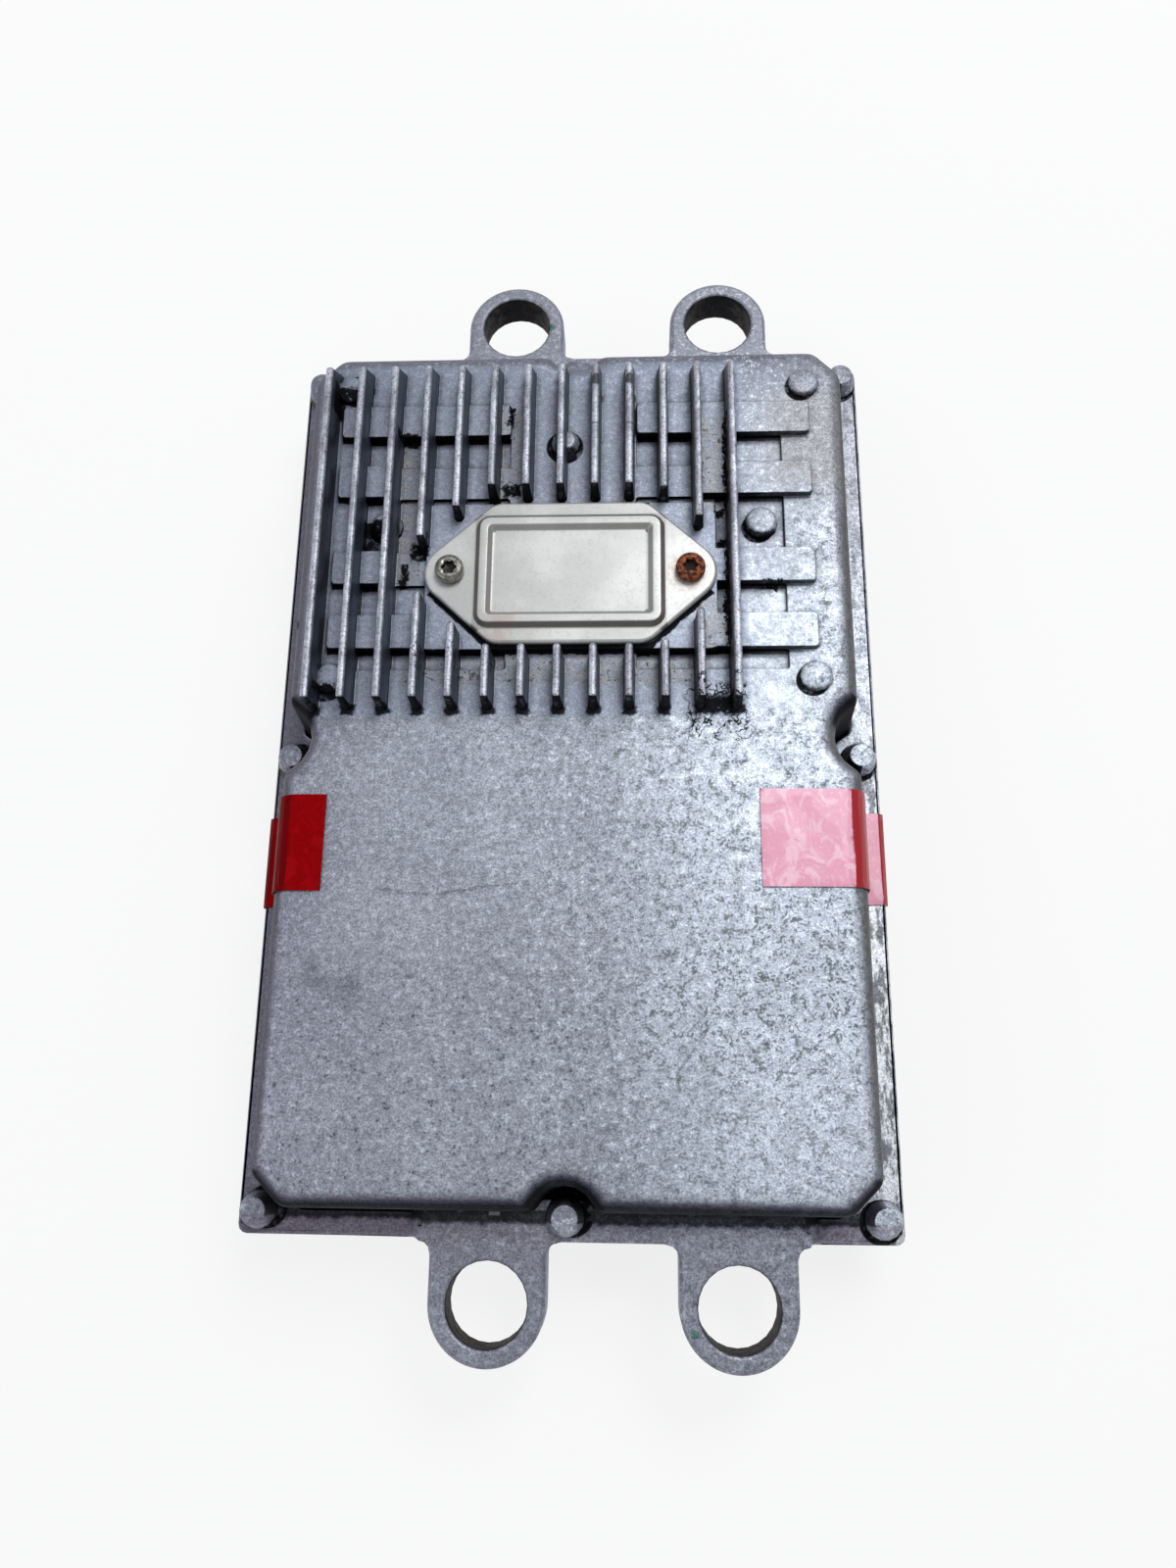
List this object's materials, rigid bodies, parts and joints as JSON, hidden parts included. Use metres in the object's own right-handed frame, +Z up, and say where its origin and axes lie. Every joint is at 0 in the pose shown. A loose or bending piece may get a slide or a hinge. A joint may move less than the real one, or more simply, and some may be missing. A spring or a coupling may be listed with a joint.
{
  "type": "fuel injection control module",
  "caption": "Flat die-cast control box with cooling fins over one half, a screwed access cover, a cast tray with connector mouths in its underside, and ring ears at both ends.",
  "frame": {"origin": "on the surface that the module stands on, under the middle of its four mounting ears", "axes": "+Z up through the fins, +Y along the module from the plain near end to the finned far end, +X across it to the right"},
  "size_m": [0.1612, 0.2908, 0.056],
  "materials": {
    "cast_housing": "weathered die casting",
    "cast_tray": "plain die casting",
    "cover_sheet": "satin pressed sheet",
    "zinc_screws": "zinc plated",
    "rusty_screw": "rusted",
    "seal_rubber": "matte",
    "black_moulding": "moulded",
    "contact_pins": "bright",
    "board_laminate": "lacquered",
    "capacitor_can": "drawn",
    "red_film": "thin film",
    "pink_film": "thin clear film"
  },
  "bodies": {
    "root": {"upper_housing": "cast_housing", "base_tray": "cast_tray", "perimeter_seal": "seal_rubber", "header_seal": "seal_rubber", "connector_header": "black_moulding", "pin_block_left": "contact_pins", "pin_block_middle": "contact_pins", "pin_block_right": "contact_pins", "logic_board": "board_laminate", "power_board": "board_laminate", "logic_screw_near_left": "zinc_screws", "logic_screw_near_right": "zinc_screws", "logic_screw_far_left": "zinc_screws", "logic_screw_far_right": "zinc_screws", "power_screw_near_left": "zinc_screws", "power_screw_near_right": "zinc_screws", "power_screw_far_left": "zinc_screws", "power_screw_far_right": "zinc_screws", "processor_chip": "black_moulding", "driver_chip": "black_moulding", "terminal_block": "black_moulding", "capacitor_1": "capacitor_can", "capacitor_2": "capacitor_can", "capacitor_3": "capacitor_can", "capacitor_4": "capacitor_can", "choke_left": "black_moulding", "choke_right": "black_moulding", "power_transistor_1": "black_moulding", "power_transistor_2": "black_moulding", "power_transistor_3": "black_moulding", "power_transistor_4": "black_moulding", "tray_screw_near_left": "zinc_screws", "tray_screw_near_middle": "zinc_screws", "tray_screw_near_right": "zinc_screws", "tray_screw_side_left": "zinc_screws", "tray_screw_side_right": "zinc_screws", "tray_screw_far_left": "zinc_screws", "tray_screw_far_middle": "zinc_screws", "tray_screw_far_right": "zinc_screws", "cover_gasket": "seal_rubber", "access_cover": "cover_sheet", "cover_screw_left": "zinc_screws", "cover_screw_right": "rusty_screw", "tape_left": "red_film", "tape_right": "pink_film"}
  },
  "joints": []
}
